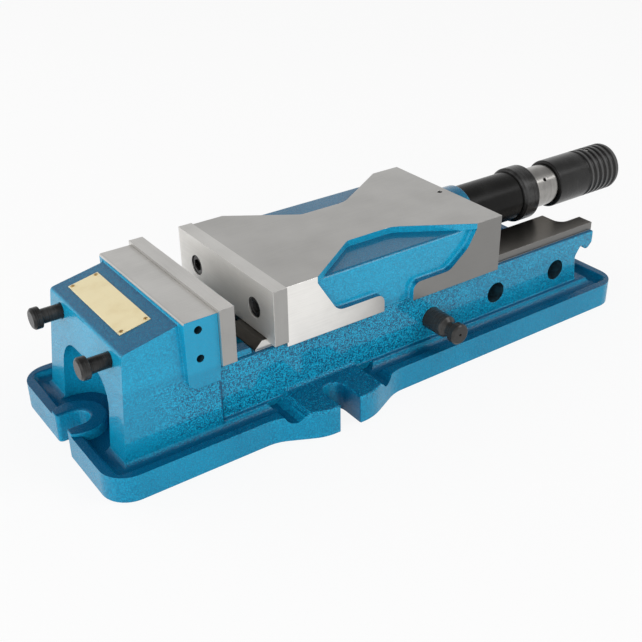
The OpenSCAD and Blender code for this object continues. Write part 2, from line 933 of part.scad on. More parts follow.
module rivet_shanks(r) {
  for (x = [-1, 1], y = [-1, 1])
    translate([x * (name_d / 2 - 3), y * (name_w / 2 - 3), -4])
      cylinder(h = 4 + name_t, r = r);
}

// Bare nameplate on the sloping top
module nameplate() {
  color(cream)
    on_nameplate()
      difference() {
        translate([-name_d / 2, -name_w / 2, 0])
          cube([name_d, name_w, name_t]);
        rivet_shanks(1 + run);
      }
}

module nameplate_rivets() {
  color(bronze)
    on_nameplate() {
      rivet_shanks(1);
      for (x = [-1, 1], y = [-1, 1])
        translate([x * (name_d / 2 - 3), y * (name_w / 2 - 3), name_t])
          cylinder(h = 0.8, r1 = rivet_r, r2 = rivet_r * 0.6);
    }
}

lift_root_x = jaw_back_x - 20;

module lift_bars(r, x0, x1) {
  for (y = [-lift_pitch / 2, lift_pitch / 2])
    bar_x(x0, x1, r, y, lift_z);
}

// Headed pins in the block front, for a lifting sling
module lifting_pins() {
  neck_x = block_front_x(lift_z) - lift_out;
  color(black_oxide) {
    lift_bars(lift_r, neck_x - lift_head_t / 2, lift_root_x);
    lift_bars(lift_head_r, neck_x - lift_head_t + lift_bevel, neck_x);
    for (y = [-lift_pitch / 2, lift_pitch / 2])
      translate([neck_x - lift_head_t, y, lift_z])
        rotate([0, 90, 0])
          cylinder(h = lift_bevel, r1 = lift_head_r - lift_bevel, r2 = lift_head_r);
  }
}

// Cast block that the range pin locks in the channel; it carries the spindle nut
module nut_block() {
  foot_top = rail_under - gap;
  color(paint)
    difference() {
      union() {
        centred([nut_x0, nut_foot_x1], channel_w - 2 * gap, [floor_h + gap, foot_top]);
        centred([nut_x0, nut_x1], rail_gap - 2 * gap, [foot_top - 1, rail_h - gap]);
        centred([nut_x0, nut_x1], 2 * nut_r, [rail_h - 1, axis_h]);
        bar_x(nut_x0, nut_x1, nut_r);
      }
      bar_x(nut_x0 - past, nut_x1 + past, nut_sleeve_r);
      bar_y(-channel_w, channel_w, range_r + run, range_x, range_z);
      nut_screw_bars(nut_x0 - past, nut_x0 + nut_screw_l, nut_screw_r);
    }
}

module nut_screw_bars(x0, x1, r) {
  for (a = [45 : 90 : 315])
    bar_x(x0, x1, r, nut_screw_at * cos(a), axis_h + nut_screw_at * sin(a));
}

// Flanged bronze nut of the spindle
module spindle_nut() {
  color(bronze)
    difference() {
      union() {
        bar_x(nut_x0, nut_x1, nut_sleeve_r);
        bar_x(nut_x0 - nut_flange_t, nut_x0, nut_flange_r);
      }
      bar_x(nut_x0 - nut_flange_t - past, nut_x1 + past, thread_r + run);
      nut_screw_bars(nut_x0 - nut_flange_t - past, nut_x0 + past, nut_screw_r);
    }
}

module nut_screws() {
  color(black_oxide)
    nut_screw_bars(nut_x0 - nut_flange_t, nut_x0 + nut_screw_l - 1, nut_screw_r);
}

// Range pin with a bevelled shoulder, a neck and a round head
module range_pin() {
  shoulder = -side_w / 2 - range_out;
  neck_end = shoulder - (range_r - range_neck_r) - range_neck_l;
  head_end = neck_end - range_head_t;
  color(black_oxide)
    translate([range_x, 0, range_z])
      rotate([90, 0, 0])
        difference() {
          rotate_extrude()
            polygon([
              [0, -range_tip],
              [range_r - 2, -range_tip],
              [range_r, 2 - range_tip],
              [range_r, -shoulder],
              [range_neck_r, -shoulder + range_r - range_neck_r],
              [range_neck_r, -neck_end],
              [range_head_r, -neck_end],
              [range_head_r, -head_end - range_bevel],
              [range_head_r - range_bevel, -head_end],
              [0, -head_end]
            ]);
          translate([0, 0, -head_end - 3])
            cylinder(h = past, r = 1.2);
        }
}

// Outline of one painted ledge beside the waist of the ground top
function ledge_outline() = rounded([
  [mov_x0 + flare_x, mov_w / 2, 0],
  [mov_x0 + waist_x, waist_w / 2, waist_front_r],
  [mov_x0 + waist_x + waist_l, waist_w / 2, waist_rear_r],
  [mov_x1 - flare_end, mov_w / 2, 0]
]);

// Outline of the T-shaped side recess, up to the ledge
function recess_outline() = rounded([
  [mov_x0 + flare_x, mov_h - ledge_d + nip, 0],
  [mov_x0 + foot_x, foot_z, foot_r],
  [mov_x0 + stem_x, foot_z, stem_r],
  [mov_x0 + stem_x, skirt_z - past, 0],
  [mov_x0 + stem_x + stem_w, skirt_z - past, 0],
  [mov_x0 + stem_x + stem_w, foot_z, stem_r],
  [mov_x0 + heel_x, foot_z, heel_r],
  [mov_x1 - flare_end - brow_in, mov_h - brow_drop, brow_r],
  [mov_x1 - flare_end, mov_h - ledge_d + nip, 0]
]);

// Corner that comes off to round the edge between a side recess and the ledge above it
function ridge_outline() =
  let (y = mov_w / 2 - recess_d, z = mov_h - ledge_d)
  [
    [y + bite, z + bite],
    [y + bite, z - ridge_r],
    each [for (a = [0 : 15 : 90]) [y - ridge_r + ridge_r * cos(a), z - ridge_r + ridge_r * sin(a)]],
    [y - ridge_r, z + bite]
  ];

// Sliding jaw: ground top with a waist, painted side recesses, skirts over the rails
module movable_jaw() {
  sole = rail_h + run;
  color(ground)
    difference() {
      union() {
        difference() {
          centred([mov_x0, mov_x1], mov_w, [skirt_z, mov_h]);
          centred([mov_x0 - past, mov_x1 + past], rail_w + 2 * gap, [skirt_z - past, sole]);
          both_sides() {
            translate([0, 0, mov_h - ledge_d])
              linear_extrude(ledge_d + past)
                polygon(ledge_outline());
            intersection() {
              across(recess_outline(), 2 * mov_w);
              block([mov_x0, mov_x1], [mov_w / 2 - recess_d, mov_w], [skirt_z - past, mov_h]);
            }
            intersection() {
              across(recess_outline(), 2 * mov_w);
              linear_extrude(mov_h)
                polygon(ledge_outline());
              lengthwise(ridge_outline(), [mov_x0, mov_x1]);
            }
          }
        }
        centred([tongue_x, cavity_x0], tongue_w, [tongue_z, sole + 1]);
        centred([cavity_x1 + 1, mov_x1 - 1], tongue_w, [tongue_z, sole + 1]);
        bar_x(mov_x1 - 1, mov_x1 + boss_l, boss_r);
      }
      nut_cavity();
      bar_x(barrel_x0 - 2, mov_x1 + boss_l + past, barrel_r + run);
      bar_x(cavity_x0 - thrust_in, cavity_x0 + 1, thrust_r);
      plate_screw_holes(mov_x0 - past, mov_x0 + screw_l + 1, screw_r + run);
      strap_screw_bars(strap_screw_r, tongue_z - past, tongue_z + strap_screw_l + 1);
      keeper_screw_bars(keeper_screw_r, cavity_x1 - 1, cavity_x1 + keeper_screw_l);
      translate([oiler_x, 0, axis_h])
        cylinder(h = mov_h, r = oiler_r);
    }
}

oiler_x = mov_x1 - rear_wall / 2;
oiler_r = 2.5;

// Space under the movable jaw for the nut block, the screw and the keeper
module nut_cavity() {
  centred([cavity_x0, cavity_x1], 2 * cavity_r, [tongue_z - past, axis_h]);
  bar_x(cavity_x0, cavity_x1, cavity_r);
  centred(
    [cavity_x1 - keeper_t - 4, cavity_x1], keeper_w + 2 * gap,
    [keeper_z - past, keeper_z + keeper_h + gap]);
}

// Four screws from below, two in each strap
module strap_screw_bars(r, z0, z1) {
  for (x = [(tongue_x + cavity_x0) / 2, (cavity_x1 + mov_x1) / 2], y = [-strap_screw_y, strap_screw_y])
    translate([x, y, z0])
      cylinder(h = z1 - z0, r = r);
}

// Straps under the rails that hold the movable jaw down
module hold_down_straps() {
  color(black_oxide)
    difference() {
      union() {
        centred([tongue_x, tongue_x + strap_l], strap_w, [tongue_z - strap_t, tongue_z]);
        centred(
          [cavity_x1 + 1, cavity_x1 + 1 + rear_strap_l], strap_w,
          [tongue_z - strap_t, tongue_z]);
      }
      strap_screw_bars(strap_screw_r, tongue_z - strap_t - past, tongue_z + past);
      strap_screw_bars(strap_screw_r * 1.6 + gap, tongue_z - strap_t - past, tongue_z - strap_t / 2);
    }
}

module strap_screws() {
  color(black_oxide) {
    strap_screw_bars(strap_screw_r, tongue_z - strap_t + 1, tongue_z + strap_screw_l);
    strap_screw_bars(strap_screw_r * 1.6, tongue_z - strap_t, tongue_z - strap_t / 2);
  }
}

// Hardened pad that takes the push of the rod
module thrust_pad() {
  color(bright)
    bar_x(cavity_x0 - thrust_in, cavity_x0 + thrust_out, thrust_r);
}

// Two keeper plates in the barrel groove, which draw the jaw back
module spindle_keepers() {
  x = [cavity_x1 - keeper_t, cavity_x1];
  color(black_oxide)
    difference() {
      centred(x, keeper_w, [keeper_z, keeper_z + keeper_h]);
      bar_x(x[0] - past, x[1] + past, keeper_r + run);
      centred([x[0] - past, x[1] + past], 2 * (keeper_r + run), [keeper_z - past, axis_h]);
      keeper_screw_bars(keeper_screw_r, x[0] - past, x[1] + past);
    }
}

module keeper_screw_bars(r, x0, x1) {
  for (y = [-keeper_screw_y, keeper_screw_y], z = [-keeper_screw_z, keeper_screw_z])
    bar_x(x0, x1, r, y, axis_h + z);
}

module keeper_screws() {
  color(black_oxide)
    keeper_screw_bars(keeper_screw_r, cavity_x1 - keeper_t, cavity_x1 + keeper_screw_l - 1);
}

// Press-in ball oiler over the barrel bearing
module ball_oiler() {
  color(bronze)
    translate([oiler_x, 0, mov_h - 1.8])
      difference() {
        cylinder(h = 1.5, r = oiler_r);
        translate([0, 0, 0.8])
          cylinder(h = past, r = oiler_r * 0.55);
      }
}

// Hollow screw that runs in the spindle nut
module screw_spindle() {
  bore = rod_r + run;
  color(bright)
    turned([
      [screw_x0, bore],
      [screw_x0, thread_r - 2],
      [screw_x0 + 2, thread_r],
      [barrel_x0, thread_r],
      [barrel_x0, spigot_r],
      [barrel_x0 + spigot_l, spigot_r],
      [barrel_x0 + spigot_l, bore]
    ]);
}

// Booster barrel: bored cylinder with a keeper groove and a threaded end
module booster_barrel() {
  floor_x = barrel_x0 + barrel_wall;
  bore = rod_r + run;
  groove = [cavity_x1 - keeper_t - gap, cavity_x1 + gap];
  color(black_oxide)
    turned([
      [barrel_x0 + spigot_l, bore],
      [barrel_x0 + spigot_l, spigot_r],
      [barrel_x0, spigot_r],
      [barrel_x0, barrel_r - 1],
      [barrel_x0 + 1, barrel_r],
      [groove[0], barrel_r],
      [groove[0], keeper_r],
      [groove[1], keeper_r],
      [groove[1], barrel_r],
      [barrel_x1 - 3, barrel_r],
      [barrel_x1, barrel_r - 0.8],
      [barrel_x1, barrel_thread_r],
      [sleeve_flange_x, barrel_thread_r],
      [sleeve_flange_x, ram_r],
      [floor_x, ram_r],
      [floor_x, bore]
    ]);
}

// Collar nut that holds the sleeve to the barrel
module collar_nut() {
  lip_x = sleeve_flange_x + sleeve_flange_t;
  end = barrel_x1 + collar_l;
  color(black_oxide)
    turned([
      [barrel_x1, barrel_thread_r],
      [barrel_x1, collar_r - collar_bevel],
      [barrel_x1 + collar_bevel, collar_r],
      [end - collar_bevel, collar_r],
      [end, collar_r - collar_bevel],
      [end, sleeve_r],
      [lip_x, sleeve_r],
      [lip_x, barrel_thread_r]
    ]);
}

// Steel sleeve: cylinder head, small bore and the thread of the drive screw
module pressure_sleeve() {
  head_r = ram_r - run;
  bore = plunger_r + run;
  large = drive_r + run;
  step_x = head_x0 + high_bore_l;
  flange_end = sleeve_flange_x + sleeve_flange_t;
  groove = [clutch_x - plunger_stroke - clutch_r - 1, clutch_x + clutch_r + 1];
  seal_x = head_x0 + 6;
  color(bright)
    difference() {
      turned([
        [head_x0, bore],
        [head_x0, head_r],
        [seal_x, head_r],
        [seal_x, head_r - seal_r],
        [seal_x + seal_w, head_r - seal_r],
        [seal_x + seal_w, head_r],
        [sleeve_flange_x, head_r],
        [sleeve_flange_x, sleeve_flange_r],
        [flange_end, sleeve_flange_r],
        [flange_end, sleeve_r],
        [sleeve_x1, sleeve_r],
        [sleeve_x1, large],
        [groove[1], large],
        [groove[1], clutch_groove_r],
        [groove[0], clutch_groove_r],
        [groove[0], large],
        [step_x, large],
        [step_x, bore]
      ]);
      on_sleeve()
        cylinder(h = past, r = grub_r);
    }
}

// Moves a drilled feature to the grub screw's place on the sleeve
module on_sleeve() {
  translate([grub_x, 0, axis_h])
    rotate([grub_angle, 0, 0])
      translate([0, 0, sleeve_r - 4])
        children();
}

module sleeve_grub_screw() {
  color(black_oxide)
    on_sleeve()
      difference() {
        cylinder(h = 3, r = grub_r);
        translate([0, 0, 1.5])
          cylinder(h = past, r = grub_r * 0.6, $fn = 6);
      }
}

module head_seal() {
  color(seal_black)
    seal_ring(head_x0 + 6, ram_r - run);
}

// Rod from the ram to the thrust pad
module push_rod() {
  color(bright)
    turned([
      [rod_x0, 0],
      [rod_x0, rod_r - 2],
      [rod_x0 + 2, rod_r],
      [ram_x0, rod_r],
      [ram_x0, rod_r - 3],
      [ram_x0 + ram_l / 2, rod_r - 3],
      [ram_x0 + ram_l / 2, 0]
    ]);
}

// Large piston of the booster
module ram_piston() {
  seal_x = ram_x0 + (ram_l - seal_w) / 2;
  r = ram_r - run;
  color(bright)
    turned([
      [ram_x0, rod_r - 3],
      [ram_x0, r],
      [seal_x, r],
      [seal_x, r - seal_r],
      [seal_x + seal_w, r - seal_r],
      [seal_x + seal_w, r],
      [ram_x1, r],
      [ram_x1, 0],
      [ram_x0 + ram_l / 2, 0],
      [ram_x0 + ram_l / 2, rod_r - 3]
    ]);
}

module ram_seal() {
  color(seal_black)
    seal_ring(ram_x0 + (ram_l - seal_w) / 2, ram_r - run);
}

// Two disc springs, cone against cone, that push the ram back
module return_springs() {
  x = barrel_x0 + barrel_wall;
  inner = rod_r + gap;
  outer = ram_r - gap;
  t = spring_l / 3;
  color(bright) {
    turned([[x, outer], [x + t, outer], [x + spring_l / 2, inner], [x + spring_l / 2 - t, inner]]);
    turned([
      [x + spring_l, outer], [x + spring_l - t, outer],
      [x + spring_l / 2, inner], [x + spring_l / 2 + t, inner]
    ]);
  }
}

// Small piston that presses the oil
module plunger() {
  seal_x = plunger_seal_x;
  seat = seal_r / 2;
  color(bright)
    turned([
      [plunger_x0, 0],
      [plunger_x0, plunger_r],
      [seal_x, plunger_r],
      [seal_x, plunger_r - seat],
      [seal_x + seal_w / 2, plunger_r - seat],
      [seal_x + seal_w / 2, plunger_r],
      [plunger_head_x, plunger_r],
      [plunger_head_x, plunger_head_r],
      [drive_x0, plunger_head_r],
      [drive_x0, 0]
    ]);
}

module plunger_seal() {
  x = plunger_seal_x;
  color(seal_black)
    difference() {
      bar_x(x, x + seal_w / 2, plunger_r);
      bar_x(x - past, x + seal_w + past, plunger_r - seal_r / 2);
    }
}

// Ribbed black grip that slides over the sleeve as the drive screw turns
module ribbed_grip() {
  first = grip_x1 - 8 - (groove_count - 1) * groove_pitch;
  bore = sleeve_r + run;
  ring_r = grip_r + groove_r - groove_d;
  color(black_oxide)
    difference() {
      turned([
        [grip_x0, bore],
        [grip_x0, grip_r - 1.2],
        [grip_x0 + 1.2, grip_r],
        [grip_x1 - 3, grip_r],
        [grip_x1 - 0.9, grip_r - 0.9],
        [grip_x1, grip_r - 3],
        [grip_x1, drive_r],
        [grip_bore_end, drive_r],
        [grip_bore_end, bore]
      ]);
      for (k = [0 : groove_count - 1])
        translate([first + k * groove_pitch, 0, axis_h])
          rotate([0, 90, 0])
            rotate_extrude()
              translate([ring_r, 0])
                circle(r = groove_r);
      grip_pin_bar(-grip_r - past, grip_r + past);
    }
}

// Cross hole that ties the grip to the drive screw
module grip_pin_bar(z0, z1) {
  x = (grip_bore_end + grip_x1 - crank_d) / 2;
  translate([x, 0, axis_h + z0])
    cylinder(h = z1 - z0, r = 2.5);
}

// Drive screw with the crank socket in its end
module drive_screw() {
  cross = 2 * (clutch_r + run);
  color(bright)
    difference() {
      bar_x(drive_x0, grip_x1 - 1, drive_r);
      hex_socket(grip_x1 - 1 - crank_d, crank_af, crank_d + past);
      translate([clutch_x, 0, axis_h - drive_r - past])
        cylinder(h = 2 * (drive_r + past), d = cross);
      grip_pin_bar(-grip_r, grip_r);
    }
}

module grip_pin() {
  color(bright)
    grip_pin_bar(-grip_r + 1, grip_r - 1);
}

// Two clutch balls, pressed out into the sleeve groove
module clutch_balls() {
  at = drive_r + clutch_out - clutch_r;
  color(bright)
    for (s = [-1, 1])
      translate([clutch_x, 0, axis_h + s * at])
        sphere(r = clutch_r);
}

module clutch_spring() {
  reach = drive_r + clutch_out - 2 * clutch_r;
  color(bright)
    translate([clutch_x, 0, axis_h - reach])
      difference() {
        cylinder(h = 2 * reach, r = clutch_r);
        translate([0, 0, -past])
          cylinder(h = 2 * (reach + past), r = clutch_r - 1);
      }
}

// Everything is drawn from the flange front, then centred on the base
module placed() {
  translate([-bed_l / 2, 0, 0])
    children();
}

placed() vise_body();
placed() fixed_jaw_plate();
placed() fixed_plate_screws();
placed() nameplate();
placed() nameplate_rivets();
placed() lifting_pins();
placed() nut_block();
placed() spindle_nut();
placed() nut_screws();
placed() range_pin();
placed() movable_jaw();
placed() movable_jaw_plate();
placed() movable_plate_screws();
placed() hold_down_straps();
placed() strap_screws();
placed() thrust_pad();
placed() spindle_keepers();
placed() keeper_screws();
placed() ball_oiler();
placed() screw_spindle();
placed() booster_barrel();
placed() collar_nut();
placed() pressure_sleeve();
placed() sleeve_grub_screw();
placed() head_seal();
placed() push_rod();
placed() ram_piston();
placed() ram_seal();
placed() return_springs();
placed() plunger();
placed() plunger_seal();
placed() ribbed_grip();
placed() drive_screw();
placed() grip_pin();
placed() clutch_balls();
placed() clutch_spring();
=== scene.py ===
"""Looks of a hydraulic machine vise: painted castings, ground ways, and blackened turned parts."""

import json
import math

import bmesh
import bpy
from bpy.props import FloatProperty, FloatVectorProperty, PointerProperty
from mathutils import Matrix, Vector
from mathutils.bvhtree import BVHTree
from mathutils.geometry import intersect_point_line


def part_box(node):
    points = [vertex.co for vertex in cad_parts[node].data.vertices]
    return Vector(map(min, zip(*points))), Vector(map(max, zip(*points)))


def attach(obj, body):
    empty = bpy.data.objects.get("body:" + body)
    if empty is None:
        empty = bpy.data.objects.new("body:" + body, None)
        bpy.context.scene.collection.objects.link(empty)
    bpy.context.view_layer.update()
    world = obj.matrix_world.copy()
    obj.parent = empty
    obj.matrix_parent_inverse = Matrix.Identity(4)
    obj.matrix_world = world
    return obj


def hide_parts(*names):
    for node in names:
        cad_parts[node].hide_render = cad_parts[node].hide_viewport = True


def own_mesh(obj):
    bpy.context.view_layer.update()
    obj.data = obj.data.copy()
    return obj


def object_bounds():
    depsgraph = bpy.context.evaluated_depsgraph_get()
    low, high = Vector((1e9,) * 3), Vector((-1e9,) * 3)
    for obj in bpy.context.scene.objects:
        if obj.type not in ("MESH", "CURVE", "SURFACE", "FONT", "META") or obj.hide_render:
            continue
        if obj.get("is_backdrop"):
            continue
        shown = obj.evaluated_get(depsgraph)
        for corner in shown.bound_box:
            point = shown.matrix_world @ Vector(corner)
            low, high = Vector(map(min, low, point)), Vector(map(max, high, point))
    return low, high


bl_info = {
    "name": "Hydraulic machine vise",
    "version": (1, 0, 0),
    "blender": (4, 5, 0),
    "location": "View3D > Sidebar > Vise",
    "description": "Dresses the packed solids of a hydraulic machine vise",
    "category": "Object",
}

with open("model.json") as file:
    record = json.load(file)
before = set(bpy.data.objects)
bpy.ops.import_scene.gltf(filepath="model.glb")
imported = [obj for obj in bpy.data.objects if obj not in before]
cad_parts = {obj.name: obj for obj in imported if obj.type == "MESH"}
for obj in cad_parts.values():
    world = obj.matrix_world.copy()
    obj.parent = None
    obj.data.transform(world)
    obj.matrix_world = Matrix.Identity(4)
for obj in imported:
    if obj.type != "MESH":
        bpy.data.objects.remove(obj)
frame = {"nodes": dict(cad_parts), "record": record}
CAD_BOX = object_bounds()
NODES = frame["nodes"]
BEHAVIOUR = frame["record"]["behaviour"]
BODY_OF = {node: body for body, nodes in BEHAVIOUR["bodies"].items() for node in nodes}
SLOT_OF = {part["node"]: part["material_slot"] for part in frame["record"]["subparts"]}

BED_LOW, BED_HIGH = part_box("vise_body")
JAW_LOW, JAW_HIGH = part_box("movable_jaw")
PLATE_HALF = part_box("fixed_jaw_plate")[1].y
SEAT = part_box("fixed_jaw_plate")[0].x
SPINDLE_HEIGHT = sum(corner.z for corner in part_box("booster_barrel")) / 2

# Share of an axis in the normal of a face that looks along it, and of one that is turned halfway
ALONG = 0.9
HALF_TURNED = 0.5

# Directions of the grinding lines, as the scale of their pattern on each axis
LINES_X = (30, 2400, 2400)
LINES_Y = (2400, 24, 2400)
LINES_Z = (2400, 2400, 24)
LINES_RAIL = (18, 2600, 2600)


class VISE_PG_finish(bpy.types.PropertyGroup):
    """Colours of the finishes."""

    paint: FloatVectorProperty(
        name="Paint", description="Colour of the hammered paint", subtype="COLOR",
        size=3, min=0, max=1, default=(0.008, 0.370, 0.600))
    # Dark blue of the hammered specks, also mixed in as painted shade on level faces, near the foot, in
    # the seam beside the jaw block and in the side slots.
    paint_deep: FloatVectorProperty(
        name="Paint in hollows", description="Colour of the paint where it pools", subtype="COLOR",
        size=3, min=0, max=1, default=(0.0005, 0.084, 0.184))
    ground: FloatVectorProperty(
        name="Ground steel", description="Colour of the ground faces", subtype="COLOR",
        size=3, min=0, max=1, default=(0.90, 0.885, 0.855))
    # The rail tops and ends are dark partly as oiled ways and partly as painted shade, set against their
    # lighter sides.
    way: FloatVectorProperty(
        name="Oiled ways", description="Colour of the oiled rails", subtype="COLOR",
        size=3, min=0, max=1, default=(0.27, 0.255, 0.235))
    black: FloatVectorProperty(
        name="Blackened steel", description="Colour of the blackened turned parts", subtype="COLOR",
        size=3, min=0, max=1, default=(0.009, 0.0088, 0.0085))
    bright: FloatVectorProperty(
        name="Bright steel", description="Colour of the bright turned parts", subtype="COLOR",
        size=3, min=0, max=1, default=(0.36, 0.35, 0.335))
    enamel: FloatVectorProperty(
        name="Plate enamel", description="Colour of the bare nameplate", subtype="COLOR",
        size=3, min=0, max=1, default=(0.82, 0.71, 0.43))


class VISE_PG_edges(bpy.types.PropertyGroup):
    """Edge rounding of the pieces."""

    cast: FloatProperty(
        name="Cast edges", description="Radius of the painted edges", unit="LENGTH", min=0, max=0.006,
        default=0.0036)
    ground: FloatProperty(
        name="Ground edges", description="Chamfer of the ground edges", unit="LENGTH", min=0, max=0.002,
        default=0.0004)
    hammer: FloatProperty(
        name="Hammer mark", description="Size of one cell of the hammered paint", unit="LENGTH",
        min=0.001, max=0.02, default=0.0028)


class VISE_PG_view(bpy.types.PropertyGroup):
    """Camera of the photograph."""

    place: FloatVectorProperty(
        name="Camera place", description="Where the camera stands", subtype="TRANSLATION", unit="LENGTH",
        size=3, default=(-0.49427, -0.68057, 0.50731))
    azimuth: FloatProperty(
        name="Azimuth", description="Turn of the view from the side of the vise", subtype="ANGLE",
        default=math.radians(-34.69))
    elevation: FloatProperty(
        name="Elevation", description="Height of the view above level", subtype="ANGLE",
        default=math.radians(29.77))
    roll: FloatProperty(
        name="Roll", description="Tilt of the picture", subtype="ANGLE", default=math.radians(-0.90))
    lens: FloatProperty(
        name="Lens", description="Focal length on a 36 mm sensor", subtype="DISTANCE_CAMERA",
        default=56.07)


class Value:
    """A number in a shader, for use in Python expressions."""

    def __init__(self, finish, socket):
        self.finish = finish
        self.socket = socket

    def math(self, operation, *terms):
        node = self.finish.node("ShaderNodeMath", {"operation": operation}, dict(enumerate(terms)))
        return Value(self.finish, node.outputs[0])

    def __add__(self, other):
        return self.math("ADD", self, other)

    __radd__ = __add__

    def __sub__(self, other):
        return self.math("SUBTRACT", self, other)

    def __rsub__(self, other):
        return self.math("SUBTRACT", other, self)

    def __mul__(self, other):
        return self.math("MULTIPLY", self, other)

    __rmul__ = __mul__

    def __pow__(self, other):
        return self.math("POWER", self, other)

    def at_most(self, other):
        return self.math("MINIMUM", self, other)

    def limited(self):
        """Held between 0 and 1."""
        return self.math("MAXIMUM", self, 0).at_most(1)

    def magnitude(self):
        return self.math("ABSOLUTE", self)

    def between(self, low, high):
        """0 below low, 1 above high, smooth between."""
        node = self.finish.node(
            "ShaderNodeMapRange", {"interpolation_type": "SMOOTHSTEP"},
            {"Value": self, "From Min": low, "From Max": high})
        return Value(self.finish, node.outputs[0])


class Tree:
    """The nodes of one material or world."""

    def __init__(self, owner):
        owner.use_nodes = True
        self.nodes = owner.node_tree.nodes
        self.links = owner.node_tree.links

    def node(self, kind, settings=None, sockets=None):
        """A new node: its settings first, then the values or links of its sockets."""
        node = self.nodes.new(kind)
        for key, value in (settings or {}).items():
            setattr(node, key, value)
        for key, value in (sockets or {}).items():
            self.feed(node.inputs[key], value)
        return node

    def feed(self, socket, value):
        if isinstance(value, Value):
            self.links.new(value.socket, socket)
        elif isinstance(value, bpy.types.NodeSocket):
            self.links.new(value, socket)
        else:
            socket.default_value = value


class Finish(Tree):
    """One procedural material, built on Object coordinates."""

    def __init__(self, name):
        self.material = bpy.data.materials.new(name)
        super().__init__(self.material)
        self.shader = self.nodes["Principled BSDF"]
        self.place = self.node("ShaderNodeTexCoord").outputs["Object"]

    def stretched(self, scale):
        """Coordinates scaled per axis, so a pattern runs along the small one."""
        return self.node("ShaderNodeMapping", None, {"Vector": self.place, "Scale": scale}).outputs[0]

    def noise(self, scale, detail=2.0, place=None):
        node = self.node(
            "ShaderNodeTexNoise", None,
            {"Vector": place or self.place, "Scale": scale, "Detail": detail, "Roughness": 0.55})
        return Value(self, node.outputs[0])

    def cells(self, size, softness=0.6):
        node = self.node(
            "ShaderNodeTexVoronoi", {"feature": "SMOOTH_F1"},
            {"Vector": self.place, "Scale": 1 / size, "Smoothness": softness})
        return Value(self, node.outputs["Distance"])

    def part(self, axis):
        node = self.node("ShaderNodeSeparateXYZ", None, {"Vector": self.place})
        return Value(self, node.outputs[axis])

    def facing(self, axis):
        """How far the surface faces along an axis of its object."""
        normal = self.node("ShaderNodeTexCoord").outputs["Normal"]
        node = self.node("ShaderNodeSeparateXYZ", None, {"Vector": normal})
        return Value(self, node.outputs[axis])

    def mixed(self, factor, first, second):
        """A colour between two colours or colour sockets."""
        node = self.node("ShaderNodeMix", {"data_type": "RGBA"}, {0: factor})
        for socket, colour in zip(node.inputs[6:8], (first, second)):
            self.feed(socket, colour if isinstance(colour, bpy.types.NodeSocket) else (*colour, 1))
        return node.outputs[2]

    def bump(self, height, strength, depth):
        node = self.node(
            "ShaderNodeBump", None, {"Height": height, "Strength": strength, "Distance": depth})
        self.feed(self.shader.inputs["Normal"], node.outputs[0])

    def surface(self, **sockets):
        """Feeds sockets of the shader, named with underscores for spaces."""
        for name, value in sockets.items():
            self.feed(self.shader.inputs[name.replace("_", " ")], value)
        return self.material


def hammered_paint(scene, name="hammered_paint", relief=1.0):
    """Glossy blue paint with a hammered skin, coarser on the bed's walls.

    Painted shade makes it deeper on level faces, near the foot, in the seam beside the jaw block and in
    the side slots; painted light makes it lighter above about 84 mm.
    """
    colours = scene.vise_finish
    finish = Finish(name)
    cell = finish.cells(scene.vise_edges.hammer)
    grain = finish.noise(980, 1)
    patch = finish.noise(12, 3)
    speck = grain.between(0.36, 0.64)
    length, height = finish.part("X"), finish.part("Z")
    wall = height.between(0.020, 0.030) * (1 - height.between(0.072, 0.076))
    front = length.between(SEAT - 0.080, SEAT)
    rear = length.between(-0.020, 0.140)
    coarse = wall * front * (1 - rear * 0.7) + 0.4
    # Painted shadow: a dark line on the bed's wall just behind the jaw block's step.
    from_seam = ((length - SEAT - 0.0008) * 1000).magnitude()
    seam = wall * (1 - from_seam.between(1.0, 2.2))
    # Painted shade: level faces and the faces near the foot are darkened toward the deep colour.
    level = finish.facing("Z").between(0.5, 0.95)
    low = 1 - height.between(0.026, 0.040)
    # Painted light: the paint is made lighter above about 84 mm.
    upper = height.between(0.078, 0.084)
    # Painted shade: the low walls of the side slots that face -X are darkened.
    forward = 1 - finish.facing("X").between(-0.95, -0.5)
    slot = low * forward * length.between(-0.092, -0.086)
    marks = (speck + cell * 0.30 - 0.68) * coarse * relief
    # Random patchy tone of the paint, plus painted shade on level faces and near the foot.
    tone_and_painted_shade = patch.between(0.3, 0.7) * 0.12 + level * 0.63 + low * 0.08
    deep = tone_and_painted_shade + seam + slot * 0.5 - upper * 0.16
    skin = cell * 0.45 + grain * 0.9
    finish.bump(skin * coarse, 0.7 * relief, 0.0012)
    return finish.surface(
        Base_Color=finish.mixed((marks + deep + 0.40).limited(), colours.paint, colours.paint_deep),
        Roughness=speck * 0.12 + 0.18,
        Specular_IOR_Level=0.15,
        Coat_Weight=0.50 - low * 0.40,
        Coat_Roughness=0.08,
    )


def shaded_bore():
    """Dull bore, dark blue-grey as painted shade of its hollow, with a blotchy tone."""
    finish = Finish("shaded_bore")
    patch = finish.noise(180, 4)
    finish.bump(patch, 0.1, 0.0002)
    return finish.surface(
        Base_Color=finish.mixed(patch.between(0.35, 0.7), (0.012, 0.045, 0.065), (0.008, 0.016, 0.022)),
        Roughness=patch * 0.2 + 0.5,
        Specular_IOR_Level=0.2,
    )


def ground_steel(name, colour, lines=LINES_X, rough=0.36, shade_span=None):
    """Ground steel with fine grinding lines, darkened as painted shade and reflection over a span of X
    when one is given.
    """
    finish = Finish(name)
    line = finish.noise(1, 3, finish.stretched(lines))
    patch = finish.noise(22, 4)
    tint = finish.mixed((line * 0.5 + patch * 0.7).between(0.35, 0.95), colour, scaled(colour, 0.86))
    if shade_span:
        # Painted shade: the colour darkens over the given span of X.
        painted_shade = (finish.part("X") + patch * 0.03).between(*shade_span)
        tint = finish.mixed(painted_shade * 0.92, tint, scaled(colour, 0.20))
    finish.bump(line, 0.04, 0.0002)
    return finish.surface(
        Base_Color=tint,
        Roughness=line * 0.10 + patch * 0.10 + (rough - 0.10),
        Metallic=1.0,
    )


def scaled(colour, share):
    return [channel * share for channel in colour]


